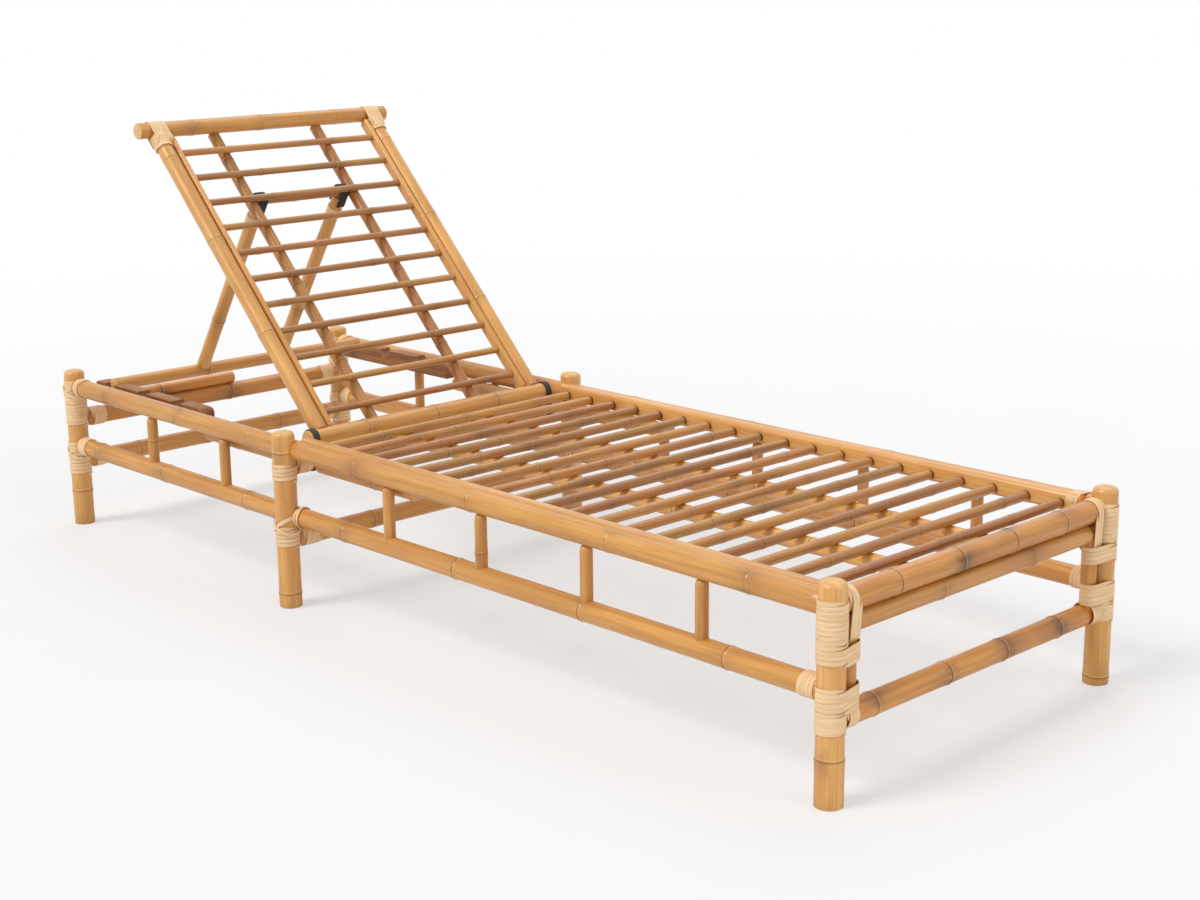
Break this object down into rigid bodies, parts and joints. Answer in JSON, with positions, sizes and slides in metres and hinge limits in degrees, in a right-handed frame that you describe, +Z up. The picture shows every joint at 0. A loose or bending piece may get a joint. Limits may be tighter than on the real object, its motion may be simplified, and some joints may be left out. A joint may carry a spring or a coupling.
{
  "type": "bamboo folding recliner",
  "caption": "Low sun lounger of bamboo poles lashed with rattan: a slatted seat on posts and a hinged slatted back held up by a prop in notched side racks.",
  "frame": {"origin": "on the floor, midway between the corner posts, at the centre of the bounding box's bottom", "axes": "+X from the head to the foot, +Y from the near side to the far side, +Z up"},
  "size_m": [2.002, 0.7288, 0.8172],
  "materials": {
    "post_bamboo": "lacquered bamboo, satin gloss",
    "rail_bamboo": "lacquered bamboo, satin gloss",
    "dark_bamboo": "lacquered bamboo with darker nodes, satin gloss",
    "slat_bamboo": "thin bamboo, satin",
    "rattan": "split rattan strand, matt",
    "hardwood": "reddish-brown hardwood, oiled",
    "strap": "black strap, matt"
  },
  "bodies": {
    "frame": {"baluster_far_1": "rail_bamboo", "baluster_far_2": "rail_bamboo", "baluster_far_3": "rail_bamboo", "baluster_far_4": "rail_bamboo", "baluster_far_5": "rail_bamboo", "baluster_far_6": "rail_bamboo", "baluster_near_1": "rail_bamboo", "baluster_near_2": "rail_bamboo", "baluster_near_3": "rail_bamboo", "baluster_near_4": "rail_bamboo", "baluster_near_5": "rail_bamboo", "baluster_near_6": "rail_bamboo", "foot_rail_low": "dark_bamboo", "foot_rail_second": "rail_bamboo", "foot_rail_upper": "dark_bamboo", "head_rail_low": "rail_bamboo", "head_rail_upper": "dark_bamboo", "hinge_strap_far": "strap", "hinge_strap_near": "strap", "lashing_foot_far": "rattan", "lashing_foot_near": "rattan", "lashing_head_far": "rattan", "lashing_head_near": "rattan", "lashing_middle_far": "rattan", "lashing_middle_near": "rattan", "low_rail_far": "rail_bamboo", "low_rail_near": "rail_bamboo", "middle_rail_low": "rail_bamboo", "middle_rail_upper": "rail_bamboo", "post_foot_far": "post_bamboo", "post_foot_near": "post_bamboo", "post_head_far": "post_bamboo", "post_head_near": "post_bamboo", "post_middle_far": "post_bamboo", "post_middle_near": "post_bamboo", "rack_far": "hardwood", "rack_near": "hardwood", "seat_slat_panel": "slat_bamboo", "side_rail_far": "rail_bamboo", "side_rail_near": "rail_bamboo", "spacer_post_far": "dark_bamboo", "spacer_post_near": "dark_bamboo", "splice_foot_far": "rail_bamboo", "splice_foot_near": "rail_bamboo", "splice_head_far": "rail_bamboo", "splice_head_near": "rail_bamboo"},
    "back": {"back_lashing_far": "rattan", "back_lashing_near": "rattan", "back_slat_panel": "slat_bamboo", "back_top_rail": "rail_bamboo", "hinge_pole": "rail_bamboo", "stile_far": "post_bamboo", "stile_near": "post_bamboo"},
    "prop": {"prop_bar": "rail_bamboo", "prop_lashing_far": "rattan", "prop_lashing_near": "rattan", "prop_leg_far": "post_bamboo", "prop_leg_near": "post_bamboo", "prop_strap_far": "strap", "prop_strap_near": "strap"}
  },
  "joints": [
    {"name": "back_hinge", "type": "hinge", "parent": "frame", "child": "back", "pos_m": [-0.2433, 0, 0.291], "axis": [0, 1, 0], "range_deg": [0, 44]},
    {"name": "prop_swing", "type": "hinge", "parent": "back", "child": "prop", "pos_m": [-0.63202, 0, 0.66626], "axis": [0, 1, 0], "range_deg": [-18, 0]}
  ],
  "couplings": [
    {"joint": "prop_swing", "follows": "back_hinge", "ratio": -0.4}
  ]
}
